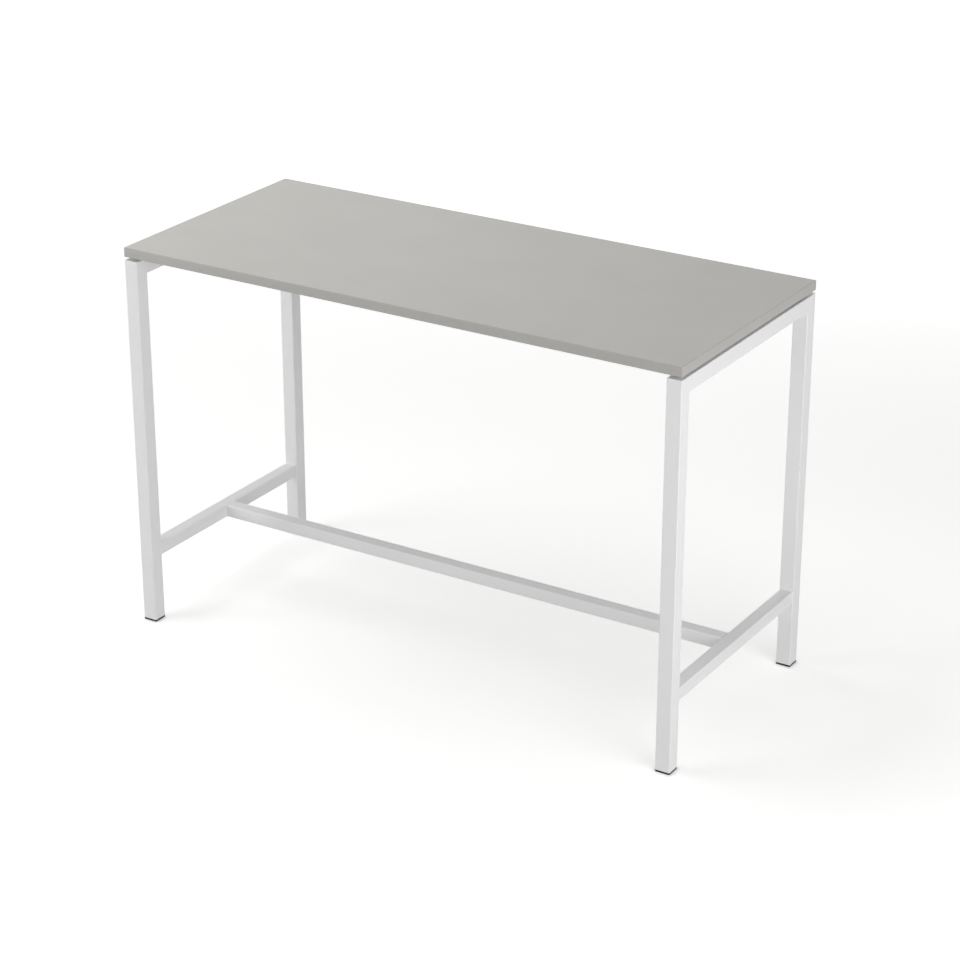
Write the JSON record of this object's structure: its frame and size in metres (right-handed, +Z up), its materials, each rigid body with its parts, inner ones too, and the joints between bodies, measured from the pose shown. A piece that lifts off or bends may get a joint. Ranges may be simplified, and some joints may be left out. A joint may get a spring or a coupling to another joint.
{
  "type": "standing meeting table",
  "caption": "Standing-height meeting table: grey faced-board top on a white square-tube frame with end arches, a low H-shaped footrest and screw-adjusted levelling feet.",
  "frame": {"origin": "on the floor under the middle of the table", "axes": "+X along the table to the right, +Y from the front to the back, +Z up"},
  "size_m": [1.6, 0.7, 1.05],
  "materials": {
    "melamine_board": "melamine-faced particle board, warm light grey, fine matt texture",
    "edge_banding": "ABS edge band matched to the board",
    "white_powder_coat": "white satin powder coat on steel tube",
    "black_nylon": "black moulded nylon",
    "zinc_steel": "bright zinc plate"
  },
  "bodies": {
    "table": {"table_top_board": "melamine_board", "edge_band_front": "edge_banding", "edge_band_back": "edge_banding", "edge_band_left": "edge_banding", "edge_band_right": "edge_banding", "leg_front_left": "white_powder_coat", "leg_front_right": "white_powder_coat", "leg_back_left": "white_powder_coat", "leg_back_right": "white_powder_coat", "end_rail_left": "white_powder_coat", "cross_rail_left": "white_powder_coat", "end_rail_right": "white_powder_coat", "cross_rail_right": "white_powder_coat", "footrest_bar": "white_powder_coat", "footrest_spigot_left": "white_powder_coat", "footrest_screw_left": "zinc_steel", "footrest_spigot_right": "white_powder_coat", "footrest_screw_right": "zinc_steel", "top_beam_front": "white_powder_coat", "top_beam_back": "white_powder_coat", "beam_plate_front_left": "white_powder_coat", "beam_bolt_front_left_a": "zinc_steel", "beam_bolt_front_left_b": "zinc_steel", "beam_plate_front_right": "white_powder_coat", "beam_bolt_front_right_a": "zinc_steel", "beam_bolt_front_right_b": "zinc_steel", "beam_plate_back_left": "white_powder_coat", "beam_bolt_back_left_a": "zinc_steel", "beam_bolt_back_left_b": "zinc_steel", "beam_plate_back_right": "white_powder_coat", "beam_bolt_back_right_a": "zinc_steel", "beam_bolt_back_right_b": "zinc_steel", "spacer_front_left": "black_nylon", "top_screw_front_left": "zinc_steel", "spacer_front_right": "black_nylon", "top_screw_front_right": "zinc_steel", "spacer_back_left": "black_nylon", "top_screw_back_left": "zinc_steel", "spacer_back_right": "black_nylon", "top_screw_back_right": "zinc_steel", "spacer_front_middle": "black_nylon", "top_screw_front_middle": "zinc_steel", "spacer_back_middle": "black_nylon", "top_screw_back_middle": "zinc_steel", "foot_cap_front_left": "black_nylon", "foot_nut_front_left": "zinc_steel", "foot_cap_front_right": "black_nylon", "foot_nut_front_right": "zinc_steel", "foot_cap_back_left": "black_nylon", "foot_nut_back_left": "zinc_steel", "foot_cap_back_right": "black_nylon", "foot_nut_back_right": "zinc_steel"},
    "pad_front_left": {"foot_pad_front_left": "black_nylon"},
    "stud_front_left": {"foot_stud_front_left": "zinc_steel"},
    "pad_front_right": {"foot_pad_front_right": "black_nylon"},
    "stud_front_right": {"foot_stud_front_right": "zinc_steel"},
    "pad_back_left": {"foot_pad_back_left": "black_nylon"},
    "stud_back_left": {"foot_stud_back_left": "zinc_steel"},
    "pad_back_right": {"foot_pad_back_right": "black_nylon"},
    "stud_back_right": {"foot_stud_back_right": "zinc_steel"}
  },
  "joints": [
    {"name": "foot_height_front_left", "type": "slide", "parent": "table", "child": "pad_front_left", "axis": [0, 0, -1], "range_m": [0, 0.01]},
    {"name": "stud_turn_front_left", "type": "hinge", "parent": "pad_front_left", "child": "stud_front_left", "pos_m": [-0.78, -0.33, 0], "axis": [0, 0, -1], "range_deg": [0, 2880]},
    {"name": "foot_height_front_right", "type": "slide", "parent": "table", "child": "pad_front_right", "axis": [0, 0, -1], "range_m": [0, 0.01]},
    {"name": "stud_turn_front_right", "type": "hinge", "parent": "pad_front_right", "child": "stud_front_right", "pos_m": [0.78, -0.33, 0], "axis": [0, 0, -1], "range_deg": [0, 2880]},
    {"name": "foot_height_back_left", "type": "slide", "parent": "table", "child": "pad_back_left", "axis": [0, 0, -1], "range_m": [0, 0.01]},
    {"name": "stud_turn_back_left", "type": "hinge", "parent": "pad_back_left", "child": "stud_back_left", "pos_m": [-0.78, 0.33, 0], "axis": [0, 0, -1], "range_deg": [0, 2880]},
    {"name": "foot_height_back_right", "type": "slide", "parent": "table", "child": "pad_back_right", "axis": [0, 0, -1], "range_m": [0, 0.01]},
    {"name": "stud_turn_back_right", "type": "hinge", "parent": "pad_back_right", "child": "stud_back_right", "pos_m": [0.78, 0.33, 0], "axis": [0, 0, -1], "range_deg": [0, 2880]}
  ],
  "couplings": [
    {"joint": "foot_height_front_left", "follows": "stud_turn_front_left", "m_per_rad": 0.00019894},
    {"joint": "foot_height_front_right", "follows": "stud_turn_front_right", "m_per_rad": 0.00019894},
    {"joint": "foot_height_back_left", "follows": "stud_turn_back_left", "m_per_rad": 0.00019894},
    {"joint": "foot_height_back_right", "follows": "stud_turn_back_right", "m_per_rad": 0.00019894}
  ]
}
